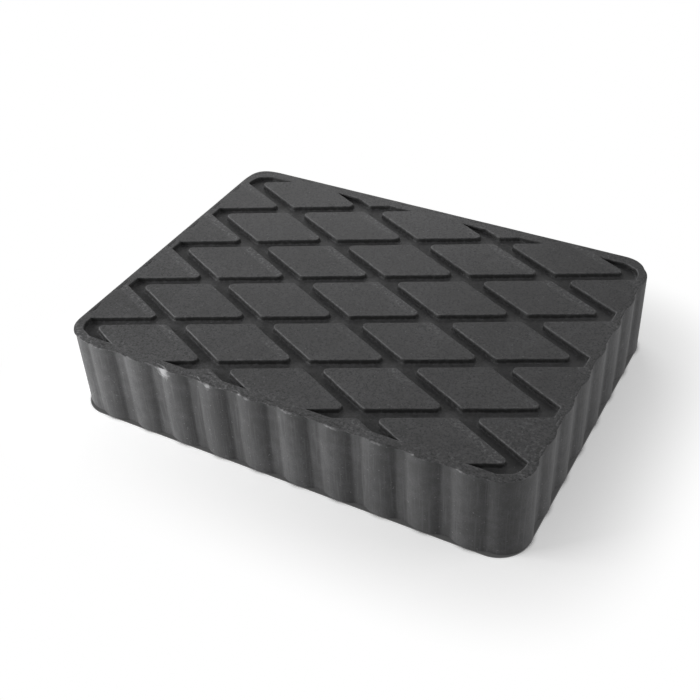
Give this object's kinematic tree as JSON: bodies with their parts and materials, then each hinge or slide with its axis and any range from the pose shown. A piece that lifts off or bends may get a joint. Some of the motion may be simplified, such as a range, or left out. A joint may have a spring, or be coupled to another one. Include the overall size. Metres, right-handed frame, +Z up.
{
  "type": "lift arm rubber pad",
  "caption": "Rectangular moulded rubber block with a diamond tread on top, ribbed walls and round corners, a cushion between a lift arm and the load.",
  "frame": {"origin": "centre of the flat underside, which the pad rests on", "axes": "+X along the length, +Y along the width, +Z up through the thickness to the tread"},
  "size_m": [0.16, 0.12, 0.03],
  "materials": {
    "black_rubber": "matt, dusty"
  },
  "bodies": {
    "root": {"rubber_pad": "black_rubber"}
  },
  "joints": []
}
